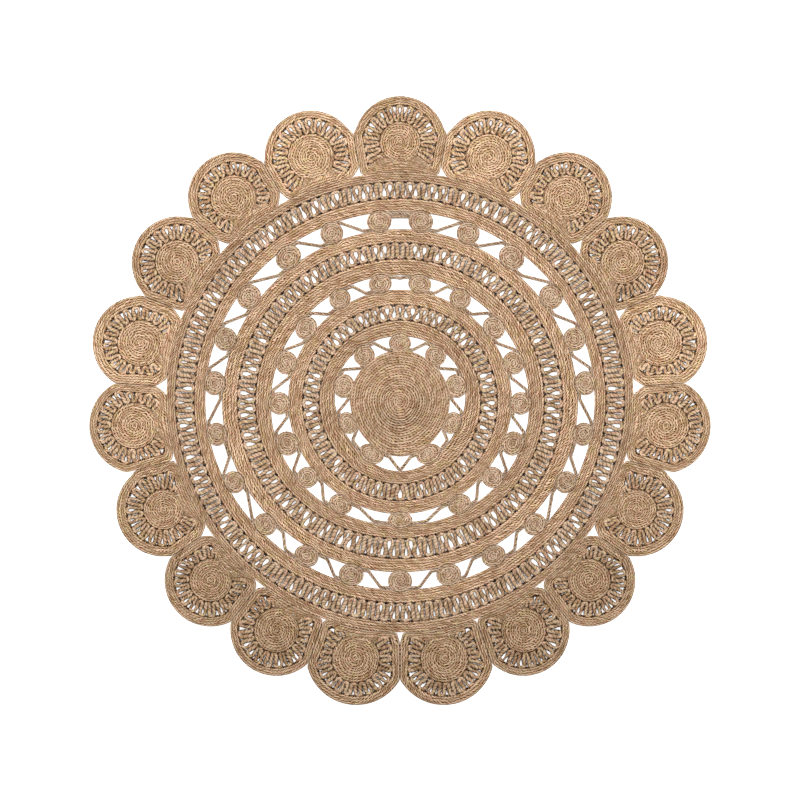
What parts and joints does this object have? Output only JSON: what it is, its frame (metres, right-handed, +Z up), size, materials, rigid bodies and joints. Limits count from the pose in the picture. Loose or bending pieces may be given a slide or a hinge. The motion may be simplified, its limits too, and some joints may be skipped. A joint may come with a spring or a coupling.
{
  "type": "round openwork jute rug",
  "caption": "Round flat rug wound from jute cord: spiral middle, plain bands, rings of rosettes and loops, and a scalloped edge of medallions.",
  "frame": {"origin": "middle of the rug's underside, at the centre of its overall width and depth", "axes": "+X to the right and +Y to the top of the picture, +Z up from the floor through the rug's thickness"},
  "size_m": [1.8304, 1.795, 0.009],
  "materials": {
    "disc_jute": "dry tan jute cord wound in a flat spiral",
    "rosette_jute": "dry pale jute cord wound in small flat coils",
    "band_jute": "dry tan jute cord in rows laid side by side",
    "loop_jute": "dry greyish jute cord laid back and forth in loops",
    "medallion_jute": "dry tan jute cord wound around a coiled eye and a fan of loops"
  },
  "bodies": {
    "root": {"centre_disc": "disc_jute", "rosette_chain_1": "rosette_jute", "rosette_chain_2": "rosette_jute", "rosette_chain_3": "rosette_jute", "band_1": "band_jute", "band_2": "band_jute", "band_3": "band_jute", "band_4": "band_jute", "band_5": "band_jute", "band_6": "band_jute", "loop_ring_1": "loop_jute", "loop_ring_2": "loop_jute", "loop_ring_3": "loop_jute", "medallion_01": "medallion_jute", "medallion_02": "medallion_jute", "medallion_03": "medallion_jute", "medallion_04": "medallion_jute", "medallion_05": "medallion_jute", "medallion_06": "medallion_jute", "medallion_07": "medallion_jute", "medallion_08": "medallion_jute", "medallion_09": "medallion_jute", "medallion_10": "medallion_jute", "medallion_11": "medallion_jute", "medallion_12": "medallion_jute", "medallion_13": "medallion_jute", "medallion_14": "medallion_jute", "medallion_15": "medallion_jute", "medallion_16": "medallion_jute", "medallion_17": "medallion_jute", "medallion_18": "medallion_jute", "medallion_19": "medallion_jute"}
  },
  "joints": []
}
